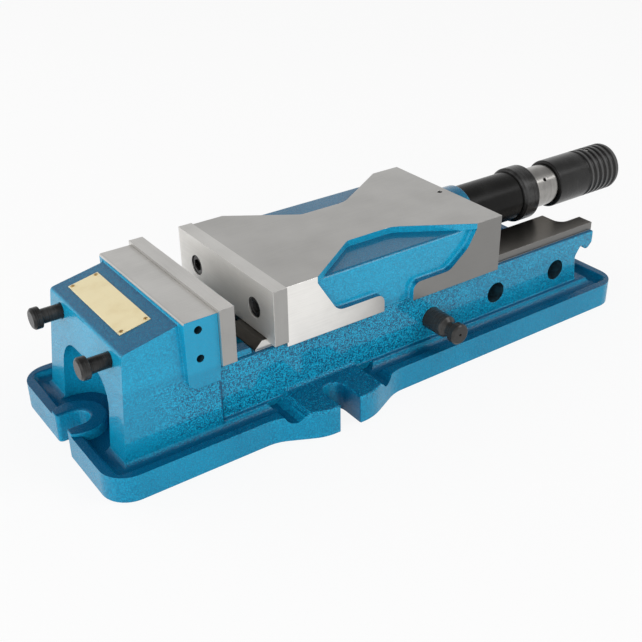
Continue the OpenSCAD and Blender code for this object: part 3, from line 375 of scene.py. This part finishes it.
def blackened_steel(scene, name, axis, wear, metal, gloss, tone=1, crest=None):
    """Satin black steel with faint turning marks round the given axis, rubbed on ribs past the crest;
    that rubbed band also serves as a painted highlight on the ribs.
    """
    colour = scaled(scene.vise_finish.black, tone)
    scale = [12, 12, 12]
    scale[axis] = 3200
    finish = Finish(name)
    ring = finish.noise(1, 2, finish.stretched(scale))
    patch = finish.noise(40, 4)
    worn = [wear + channel * 1.6 for channel in colour]
    rubbed_and_glint = (patch * 0.8 + ring * 0.3).between(0.45, 0.95)
    # Painted highlight: the rib crests past the given radius are lighter, as wear and as a glint.
    if crest:
        rise = finish.part("Z") - SPINDLE_HEIGHT
        radius = (rise * rise + finish.part("Y") ** 2) ** 0.5
        ribs, low, high = crest
        rubbed_and_glint = rubbed_and_glint * 0.4 + radius.between(low, high) * finish.part("X").between(ribs - 0.003, ribs)
    finish.bump(ring, 0.05, 0.0002)
    return finish.surface(
        Base_Color=finish.mixed(rubbed_and_glint.limited(), colour, worn),
        Roughness=ring * 0.08 + patch * 0.14 + 0.15,
        Metallic=metal,
        Specular_IOR_Level=gloss,
    )


def bright_steel(scene):
    """Turned steel with rings round the spindle."""
    colour = scene.vise_finish.bright
    finish = Finish("turned_steel")
    ring = finish.noise(1, 3, finish.stretched((3600, 16, 16)))
    patch = finish.noise(60, 4)
    shade = scaled(colour, 0.45)
    finish.bump(ring, 0.08, 0.0002)
    return finish.surface(
        Base_Color=finish.mixed((ring * 0.5 + patch * 0.6).between(0.35, 0.9), colour, shade),
        Roughness=ring * 0.12 + 0.16,
        Metallic=1.0,
    )


def turned_bronze():
    """Warm bronze with turning rings and a little tarnish."""
    finish = Finish("turned_bronze")
    ring = finish.noise(1, 2, finish.stretched((3000, 20, 20)))
    patch = finish.noise(80, 4)
    finish.bump(ring, 0.06, 0.0002)
    return finish.surface(
        Base_Color=finish.mixed(patch.between(0.4, 0.7), (0.55, 0.36, 0.14), (0.34, 0.22, 0.09)),
        Roughness=ring * 0.12 + patch * 0.10 + 0.22,
        Metallic=1.0,
    )


def plate_enamel(scene):
    """Cream enamel with a faint stain, on a thin plate."""
    colour = scene.vise_finish.enamel
    finish = Finish("cream_enamel")
    patch = finish.noise(60, 4)
    fleck = finish.noise(1400)
    stain = (colour[0] * 0.90, colour[1] * 0.86, colour[2] * 0.78)
    finish.bump(fleck, 0.05, 0.0001)
    return finish.surface(
        Base_Color=finish.mixed((patch * 0.8 + fleck * 0.2).between(0.42, 0.8), colour, stain),
        Roughness=fleck * 0.1 + 0.30,
        Coat_Weight=0.4,
    )


def seal_rubber():
    """Smooth black rubber."""
    finish = Finish("black_rubber")
    fleck = finish.noise(700)
    finish.bump(fleck, 0.08, 0.0001)
    return finish.surface(
        Base_Color=finish.mixed(fleck, (0.012, 0.012, 0.012), (0.03, 0.03, 0.03)),
        Roughness=fleck * 0.15 + 0.55,
    )


def finishes(scene):
    """All finishes, made once and then found again by name."""
    if "hammered_paint" not in bpy.data.materials:
        hammered_paint(scene)
        hammered_paint(scene, "smooth_paint", 0.18)
        ground = scene.vise_finish.ground
        # Copies of the ground steel at different brightness for each group of faces, as painted light
        # and shade: the jaw's top darker than its skirts, the plate tops and ends darker than their
        # faces.
        ground_steel("ground_face", scaled(ground, 0.79), rough=0.40)
        ground_steel("jaw_steel", scaled(ground, 0.58))
        # The skirts darken toward the jaw's rear as painted shade.
        ground_steel("skirt_steel", ground, shade_span=(JAW_LOW.x + 0.04, JAW_LOW.x + 0.16))
        ground_steel("plate_steel", scaled(ground, 0.86), LINES_Y, 0.46)
        ground_steel("plate_face_steel", ground, LINES_Y, 0.64)
        ground_steel("plate_end_steel", scaled(ground, 0.45), LINES_Z, 0.42)
        # The rail tops darken toward the fixed jaw between the jaws, and the rail sides toward the rear,
        # as painted shade.
        ground_steel(
            "oiled_way", scene.vise_finish.way, LINES_RAIL, 0.30, (SEAT + 0.130, SEAT + 0.060))
        ground_steel(
            "rail_steel", scaled(ground, 0.80), LINES_RAIL, 0.34, (SEAT + 0.100, SEAT + 0.170))
        shaded_bore()
        blackened_steel(scene, "black_along_x", 0, wear=0.004, metal=0.0, gloss=0.10)
        grip_low, grip_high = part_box("ribbed_grip")
        ribs = grip_low.x * 0.46 + grip_high.x * 0.54
        blackened_steel(
            scene, "grip_black", 0, wear=0.08, metal=0.1, gloss=0.34, crest=(ribs, 0.0240, 0.0256))
        blackened_steel(scene, "pin_black_x", 0, wear=0.07, metal=0.2, gloss=0.30)
        blackened_steel(scene, "pin_black_y", 1, wear=0.03, metal=0.1, gloss=0.30, tone=3)
        bright_steel(scene)
        turned_bronze()
        plate_enamel(scene)
        seal_rubber()
    return bpy.data.materials


def merged_copy(node, cuts=()):
    """A bmesh of a CAD node with its seams merged, split at the given planes."""
    bm = bmesh.new()
    bm.from_mesh(NODES[node].data)
    bmesh.ops.remove_doubles(bm, verts=bm.verts, dist=2e-6)
    for point, normal in cuts:
        bmesh.ops.bisect_plane(
            bm, geom=bm.verts[:] + bm.edges[:] + bm.faces[:], dist=1e-7, plane_co=point, plane_no=normal)
    return bm


def paint_faces(bm, choose):
    """Gives each face the material index that choose returns for its middle and normal."""
    for face in bm.faces:
        face.material_index = choose(face.calc_center_median(), face.normal)


def corners(edge):
    """The edges that meet this one at the corners of its faces, with the angle inside each corner."""
    for loop in edge.link_loops:
        ahead = loop.link_loop_next
        for corner, other in ((loop, loop.link_loop_prev.edge), (ahead, ahead.edge)):
            angle = corner.calc_angle()
            yield other, angle if corner.is_convex else math.tau - angle


def is_sharp(edge, sharp):
    return len(edge.link_faces) == 2 and edge.calc_face_angle(0) > sharp


def free_length(edge, other, angle, sharp):
    """Length at a corner that the bevel of an edge may use, with a sharp or a plain neighbour."""
    if is_sharp(other, sharp):
        return min(edge.calc_length(), other.calc_length()) * math.tan(angle / 2)
    return other.calc_length() * math.sin(max(angle, 0.3))


def reach(face, edge):
    """How far a face extends from one of its edges."""
    start = edge.verts[0].co
    way = (edge.verts[1].co - start).normalized()
    return max((vert.co - start).cross(way).length for vert in face.verts)


def round_edges(
        bm, widths, flat=math.radians(0.6), sharp=math.radians(32), in_line=math.radians(37),
        hollow=0.0022, share=0.45):
    """Joins flat faces and weighs the edges for the bevel, by the finish they border and their room."""
    bmesh.ops.dissolve_limit(
        bm, angle_limit=flat, verts=bm.verts, edges=bm.edges, delimit={"MATERIAL"})
    bm.normal_update()
    weight = bm.edges.layers.float.new("bevel_weight_edge")
    lines = {}
    for edge in bm.edges:
        if is_sharp(edge, sharp):
            room = min(
                min(widths[face.material_index], share * reach(face, edge)) for face in edge.link_faces)
            if not edge.is_convex:
                room = min(room, hollow)
            ends = [
                [other for other in vert.link_edges if other != edge and is_sharp(other, sharp)]
                for vert in edge.verts]
            if not all(ends):
                room = 0
            for other, angle in corners(edge):
                if angle < math.pi - 0.02:
                    room = min(room, share * free_length(edge, other, angle, sharp))
            edge[weight] = room / max(widths)
            lines[edge] = [other for other, angle in corners(edge) if abs(angle - math.pi) < in_line]
            lines[edge] += [others[0] for others in ends if len(others) == 1]
    changed = True
    while changed:
        changed = False
        for edge, line in lines.items():
            least = min((other[weight] for other in line if other in lines), default=1)
            if least < edge[weight]:
                edge[weight] = least
                changed = True
    return lines, weight


def rows_of(lines):
    """The edges in groups that run on in line."""
    row_of = {}
    for edge, line in lines.items():
        row = row_of.setdefault(edge, [edge])
        for other in line:
            if other in lines and row_of.get(other) is not row:
                joined = row_of.get(other, [other])
                row.extend(joined)
                row_of.update((member, row) for member in joined)
    return list({id(row): row for row in row_of.values()}.values())


def faults(piece, plain, low, high, least_area=1e-7, most_corners=8, slack=1e-5):
    """Spots where the bevel turns a face over or leaves the box of the plain shape."""
    rounded = piece.evaluated_get(bpy.context.evaluated_depsgraph_get()).to_mesh()
    for face in rounded.polygons:
        if face.area > least_area and face.loop_total <= most_corners:
            if plain.find_nearest(face.center)[1].dot(face.normal) < -0.1:
                yield face.center.copy()
    for vert in rounded.vertices:
        if any(not a - slack < b < c + slack for a, b, c in zip(low, vert.co, high)):
            yield vert.co.copy()


def distance(spot, edge):
    """From a spot to the nearest point of an edge."""
    first, second = (vert.co for vert in edge.verts)
    near, share = intersect_point_line(spot, first, second)
    return (spot - (first if share < 0 else second if share > 1 else near)).length


def ease(bm, piece, lines, weight, node, rounds=8, step=0.5, least=0.05, crisp=0.02):
    """Takes rounding from the row of edges nearest to each fault of the bevel, until none is left."""
    plain = BVHTree.FromBMesh(bm)
    row_of = {edge: row for row in rows_of(lines) for edge in row}
    for _ in range(rounds):
        spots = list(faults(piece, plain, *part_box(node)))
        if not spots:
            break
        rounded = [edge for edge in lines if edge[weight] > 0]
        nearest = [min(rounded, key=lambda edge, spot=spot: distance(spot, edge)) for spot in spots]
        for row in {id(row_of[edge]): row_of[edge] for edge in nearest}.values():
            for edge in row:
                edge[weight] *= step if edge[weight] > least else 0
        bm.to_mesh(piece.data)
    for edge in lines:
        edge.smooth = edge[weight] > crisp
    bm.to_mesh(piece.data)


def crisp_edges(limit=math.radians(40)):
    """Node group that shades the edges left unrounded as sharp."""
    group = bpy.data.node_groups.get("crisp_edges")
    if group:
        return group
    group = bpy.data.node_groups.new("crisp_edges", "GeometryNodeTree")
    for way in ("INPUT", "OUTPUT"):
        group.interface.new_socket("Mesh", in_out=way, socket_type="NodeSocketGeometry")
    begin, angle, compare, shade, end = (
        group.nodes.new(kind) for kind in (
            "NodeGroupInput", "GeometryNodeInputMeshEdgeAngle", "FunctionNodeCompare",
            "GeometryNodeSetShadeSmooth", "NodeGroupOutput"))
    compare.inputs["B"].default_value = limit
    shade.domain = "EDGE"
    shade.inputs["Shade Smooth"].default_value = False
    for source, target in (
        (begin.outputs[0], shade.inputs[0]),
        (angle.outputs["Unsigned Angle"], compare.inputs["A"]),
        (compare.outputs[0], shade.inputs["Selection"]),
        (shade.outputs[0], end.inputs[0]),
    ):
        group.links.new(source, target)
    return group


def finished(bm, name, node, materials, widths):
    """Turns a bmesh into the piece that stands for a CAD node, with rounded edges."""
    lines, weight = round_edges(bm, widths)
    mesh = bpy.data.meshes.new(name)
    bm.to_mesh(mesh)
    for material in materials:
        mesh.materials.append(material)
    piece = bpy.data.objects.new(name, mesh)
    bpy.context.scene.collection.objects.link(piece)
    bevel = piece.modifiers.new("Rounded edges", "BEVEL")
    bevel.limit_method = "WEIGHT"
    bevel.width = max(widths)
    bevel.segments = 3
    bevel.profile = 0.5
    bevel.use_clamp_overlap = False
    ease(bm, piece, lines, weight, node)
    bm.free()
    mesh.shade_smooth()
    piece.modifiers.new("Crisp edges", "NODES").node_group = crisp_edges()
    shading = piece.modifiers.new("Even shading", "WEIGHTED_NORMAL")
    shading.keep_sharp = True
    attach(piece, BODY_OF[node])
    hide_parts(node)
    return piece


class VISE_OT_bed_casting(bpy.types.Operator):
    """Cast bed with the fixed jaw: painted skin, ground rails and jaw faces"""

    bl_idname = "vise.bed_casting"
    bl_label = "Bed casting"

    def execute(self, context):
        edges = context.scene.vise_edges
        kinds = finishes(context.scene)
        paint, ground, way, smooth, bore, rail = range(6)
        ledge = BED_LOW.z + 0.0742
        rails = SEAT + 0.0365
        block_top = BED_HIGH.z - 0.0021
        pad_foot, pad_front, pad_side = BED_HIGH.z - 0.063, SEAT - 0.031, 0.0765
        pin_low, pin_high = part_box("range_pin")
        pin = (pin_low + pin_high) / 2
        range_step, range_radius, stop_radius = 0.0825, 0.0106, 0.0036
        holes = [(pin.x + range_step * step, pin.z, range_radius) for step in range(3)]
        holes += [(SEAT - 0.0179, BED_HIGH.z - drop, stop_radius) for drop in (0.0094, 0.0352)]

        def choose(middle, normal):
            sideways = abs(normal.y)
            if middle.z < BED_LOW.z + 0.0005 and normal.z < -ALONG:
                return ground
            if middle.x > rails and middle.z > ledge - 0.0001:
                return rail if sideways > 0.7 else way
            if sideways < HALF_TURNED and any(
                    math.hypot(middle.x - x, middle.z - z) < radius for x, z, radius in holes):
                return bore
            if middle.x < rails and middle.z > block_top and sideways < HALF_TURNED:
                return ground
            if pad_front < middle.x < SEAT + 0.0005 and middle.z > pad_foot:
                if normal.x > ALONG:
                    return ground
                return smooth if abs(middle.y) > pad_side and sideways > ALONG else paint
            return paint

        bm = merged_copy("vise_body", [((0, 0, ledge), (0, 0, 1))])
        paint_faces(bm, choose)
        finished(
            bm, "bed_casting", "vise_body",
            [kinds[name] for name in (
                "hammered_paint", "ground_face", "oiled_way", "smooth_paint", "shaded_bore",
                "rail_steel")],
            (edges.cast, *[edges.ground] * 5))
        return {"FINISHED"}


class VISE_OT_jaw_casting(bpy.types.Operator):
    """Movable jaw: ground outside, painted side recesses, ledges and rear boss"""

    bl_idname = "vise.jaw_casting"
    bl_label = "Jaw casting"

    def execute(self, context):
        edges = context.scene.vise_edges
        kinds = finishes(context.scene)
        paint, steel, skirt = range(3)
        rear = JAW_HIGH.x - 0.0145
        recess_front, recess_rear = JAW_LOW.x + 0.0305, rear - 0.0300
        recess_floor, ledge_inside = 0.0705, 0.0355
        ledge = JAW_HIGH.z - 0.0205
        skin = 0.0002

        def choose(middle, normal):
            if middle.x > rear + 0.0003:
                return paint
            side = abs(middle.y)
            inside = recess_front < middle.x < recess_rear
            above = middle.z > ledge
            hollow = side > recess_floor or above and side > ledge_inside
            sunk = side < JAW_HIGH.y - skin and middle.z < JAW_HIGH.z - skin
            if inside and hollow and sunk and (above or normal.z > -ALONG):
                return paint
            return skirt if abs(normal.y) > ALONG else steel

        bm = merged_copy("movable_jaw")
        paint_faces(bm, choose)
        finished(
            bm, "jaw_casting", "movable_jaw",
            [kinds[name] for name in ("hammered_paint", "jaw_steel", "skirt_steel")],
            (edges.cast, edges.ground, edges.ground))
        return {"FINISHED"}


class VISE_OT_jaw_plates(bpy.types.Operator):
    """Hardened jaw plates with broken edges, and their cap screws"""

    bl_idname = "vise.jaw_plates"
    bl_label = "Jaw plates and screws"

    def execute(self, context):
        kinds = finishes(context.scene)
        top, end, face, back = range(4)
        for node, grips in (("fixed_jaw_plate", 1), ("movable_jaw_plate", -1)):

            def choose(middle, normal, grips=grips):
                if abs(normal.x) > ALONG:
                    return face if normal.x * grips > 0 else back
                return end if abs(normal.y) > ALONG and abs(middle.y) > PLATE_HALF - 0.0005 else top

            bm = merged_copy(node)
            paint_faces(bm, choose)
            finished(
                bm, node + "_ground", node,
                [kinds[name] for name in (
                    "plate_steel", "plate_end_steel", "plate_face_steel", "plate_steel")],
                [0.0004, 0.0004, 0.0004, 0.0001])
        for node in ("fixed_plate_screws", "movable_plate_screws"):
            bm = merged_copy(node)
            finished(bm, node + "_black", node, [kinds["pin_black_x"]], [0.0007])
        return {"FINISHED"}


class VISE_OT_nameplate(bpy.types.Operator):
    """Bare enamelled nameplate with its rivets"""

    bl_idname = "vise.nameplate"
    bl_label = "Nameplate"

    def execute(self, context):
        kinds = finishes(context.scene)
        bm = merged_copy("nameplate")
        finished(bm, "bare_nameplate", "nameplate", [kinds["cream_enamel"]], [0.0003])
        bm = merged_copy("nameplate_rivets")
        finished(bm, "domed_rivets", "nameplate_rivets", [kinds["turned_bronze"]], [0.0003])
        return {"FINISHED"}


class VISE_OT_pins(bpy.types.Operator):
    """Blackened lifting pins and range pin"""

    bl_idname = "vise.pins"
    bl_label = "Pins"

    def execute(self, context):
        kinds = finishes(context.scene)
        for node, material in (("lifting_pins", "pin_black_x"), ("range_pin", "pin_black_y")):
            bm = merged_copy(node)
            finished(bm, node + "_turned", node, [kinds[material]], [0.0008])
        return {"FINISHED"}


class VISE_OT_booster(bpy.types.Operator):
    """Booster barrel, collar nut, sleeve, ribbed grip and the springs inside"""

    bl_idname = "vise.booster"
    bl_label = "Booster"

    def execute(self, context):
        kinds = finishes(context.scene)
        for node, material, width in (
            ("booster_barrel", "black_along_x", 0.0006),
            ("collar_nut", "pin_black_x", 0.0006),
            ("pressure_sleeve", "turned_steel", 0.0004),
            ("ribbed_grip", "grip_black", 0.0006),
            ("drive_screw", "black_along_x", 0.0004),
        ):
            bm = merged_copy(node)
            finished(bm, node + "_turned", node, [kinds[material]], [width])
        self.disc_springs(kinds["turned_steel"])
        return {"FINISHED"}

    def disc_springs(self, material):
        """Disc springs in a mesh of their own; the ram's travel is read but does not change them."""
        node, joint = "return_springs", "ram_push"
        low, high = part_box(node)
        travel = next(row["range_m"][1] for row in BEHAVIOUR["joints"] if row["name"] == joint)
        springs = finished(merged_copy(node), "disc_springs", node, [material], [0.0001])
        1 - travel / (high.x - low.x)
        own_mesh(springs)


class VISE_OT_inner_pieces(bpy.types.Operator):
    """Finishes of the pieces inside, which keep their CAD meshes"""

    bl_idname = "vise.inner_pieces"
    bl_label = "Inner pieces"

    def execute(self, context):
        kinds = finishes(context.scene)
        by_slot = {
            "blue_paint": "hammered_paint",
            "ground_steel": "ground_face",
            "black_oxide": "black_along_x",
            "bright_steel": "turned_steel",
            "bronze": "turned_bronze",
            "plate_enamel": "cream_enamel",
            "seal_rubber": "black_rubber",
        }
        for node, piece in NODES.items():
            if not piece.hide_render:
                kind = "black_along_x" if node == "ball_oiler" else by_slot[SLOT_OF[node]]
                piece.data.materials.clear()
                piece.data.materials.append(kinds[kind])
        return {"FINISHED"}


class VISE_OT_stage(bpy.types.Operator):
    """Pale floor, soft lights and the photograph's camera"""

    bl_idname = "vise.stage"
    bl_label = "Stage"

    def execute(self, context):
        scene = context.scene
        self.floor()
        self.world(scene)
        self.lamp("key_light", (-1.5, -1.4, 0.7), size=1.7, power=18, mirrored=False)
        self.lamp("edge_light", (1.0, -0.95, 1.4), size=0.9, power=9)
        self.lamp("back_light", (-1.0, 1.5, 1.0), size=1.6, power=9, mirrored=False)
        self.lamp("front_light", (-1.8, -0.2, 0.5), size=1.2, power=6)
        self.camera(scene)
        scene.view_settings.view_transform = "Standard"
        return {"FINISHED"}

    def floor(self):
        bm = bmesh.new()
        bmesh.ops.create_grid(bm, x_segments=1, y_segments=1, size=6)
        mesh = bpy.data.meshes.new("pale_floor")
        bm.to_mesh(mesh)
        bm.free()
        floor = bpy.data.objects.new("pale_floor", mesh)
        floor.location.z = BED_LOW.z - 0.0002
        bpy.context.scene.collection.objects.link(floor)
        finish = Finish("pale_floor")
        finish.surface(Base_Color=(0.86, 0.86, 0.86, 1), Roughness=0.9)
        glow = finish.node("ShaderNodeEmission", None, {"Color": (1, 1, 1, 1), "Strength": 1.0})
        white = self.seen(finish) * 0.88
        mix = finish.node(
            "ShaderNodeMixShader", None,
            {0: white, 1: finish.shader.outputs[0], 2: glow.outputs[0]})
        finish.feed(finish.nodes["Material Output"].inputs[0], mix.outputs[0])
        mesh.materials.append(finish.material)
        floor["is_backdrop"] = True

    def seen(self, finish):
        """1 for rays that show the background: straight, mirrored or through glass."""
        path = finish.node("ShaderNodeLightPath")
        straight, mirrored, through = (
            Value(finish, path.outputs[name])
            for name in ("Is Camera Ray", "Is Glossy Ray", "Is Transmission Ray"))
        return (straight + mirrored + through).at_most(1)

    def world(self, scene):
        """White all round the horizon, dimmer overhead."""
        world = bpy.data.worlds.new("studio")
        scene.world = world
        tree = Tree(world)
        way = tree.node("ShaderNodeTexCoord").outputs["Generated"]
        height = tree.node("ShaderNodeSeparateXYZ", None, {"Vector": way}).outputs["Z"]
        strength = tree.node(
            "ShaderNodeMapRange", None,
            {"Value": height, "From Min": 0.3, "From Max": 1.1, "To Min": 0.95, "To Max": 0.0})
        tree.feed(tree.nodes["Background"].inputs["Color"], (1, 1, 1, 1))
        tree.feed(tree.nodes["Background"].inputs["Strength"], strength.outputs[0])

    def lamp(self, name, place, size, power, mirrored=True):
        """Area lamp aimed at the vise; mirrored lamps show in the steel."""
        light = bpy.data.lights.new(name, "AREA")
        light.size = size
        light.energy = power
        lamp = bpy.data.objects.new(name, light)
        lamp.location = place
        lamp.visible_glossy = mirrored
        aim = Vector((0, 0, 0.08)) - Vector(place)
        lamp.rotation_euler = aim.to_track_quat("-Z", "Y").to_euler()
        bpy.context.scene.collection.objects.link(lamp)

    def camera(self, scene):
        view = scene.vise_view
        flat, high = math.cos(view.elevation), math.sin(view.elevation)
        right = Vector((math.cos(view.azimuth), math.sin(view.azimuth), 0))
        back = Vector((math.sin(view.azimuth) * flat, -math.cos(view.azimuth) * flat, high))
        turn = Matrix((right, back.cross(right), back)).transposed().to_4x4()
        data = bpy.data.cameras.new("photograph")
        data.sensor_width = 36
        data.lens = view.lens
        camera = bpy.data.objects.new("photograph", data)
        camera.matrix_world = (
            Matrix.Translation(view.place) @ turn @ Matrix.Rotation(view.roll, 4, "Z"))
        scene.collection.objects.link(camera)
        scene.camera = camera


PIECES = (
    VISE_OT_bed_casting,
    VISE_OT_jaw_casting,
    VISE_OT_jaw_plates,
    VISE_OT_nameplate,
    VISE_OT_pins,
    VISE_OT_booster,
    VISE_OT_inner_pieces,
    VISE_OT_stage,
)


class VISE_PT_panel(bpy.types.Panel):
    """Colours, edges, view and pieces of the vise"""

    bl_idname = "VISE_PT_panel"
    bl_label = "Hydraulic machine vise"
    bl_space_type = "VIEW_3D"
    bl_region_type = "UI"
    bl_category = "Vise"

    def draw(self, context):
        for group in (context.scene.vise_finish, context.scene.vise_edges, context.scene.vise_view):
            column = self.layout.column(align=True)
            for name in group.bl_rna.properties.keys():
                if name not in ("rna_type", "name"):
                    column.prop(group, name)
        for piece in PIECES:
            self.layout.operator(piece.bl_idname)


GROUPS = {"vise_finish": VISE_PG_finish, "vise_edges": VISE_PG_edges, "vise_view": VISE_PG_view}


def register():
    for name, group in GROUPS.items():
        bpy.utils.register_class(group)
        setattr(bpy.types.Scene, name, PointerProperty(type=group))
    for kind in (*PIECES, VISE_PT_panel):
        bpy.utils.register_class(kind)


def unregister():
    for kind in (VISE_PT_panel, *reversed(PIECES)):
        bpy.utils.unregister_class(kind)
    for name, group in GROUPS.items():
        delattr(bpy.types.Scene, name)
        bpy.utils.unregister_class(group)


def main():
    register()
    bpy.ops.vise.bed_casting()
    bpy.ops.vise.jaw_casting()
    bpy.ops.vise.jaw_plates()
    bpy.ops.vise.nameplate()
    bpy.ops.vise.pins()
    bpy.ops.vise.booster()
    bpy.ops.vise.inner_pieces()
    bpy.ops.vise.stage()
    boxes = {"cad": CAD_BOX, "visual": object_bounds()}
    {name: [list(corner) for corner in box] for name, box in boxes.items()}


if __name__ == "__main__":
    main()
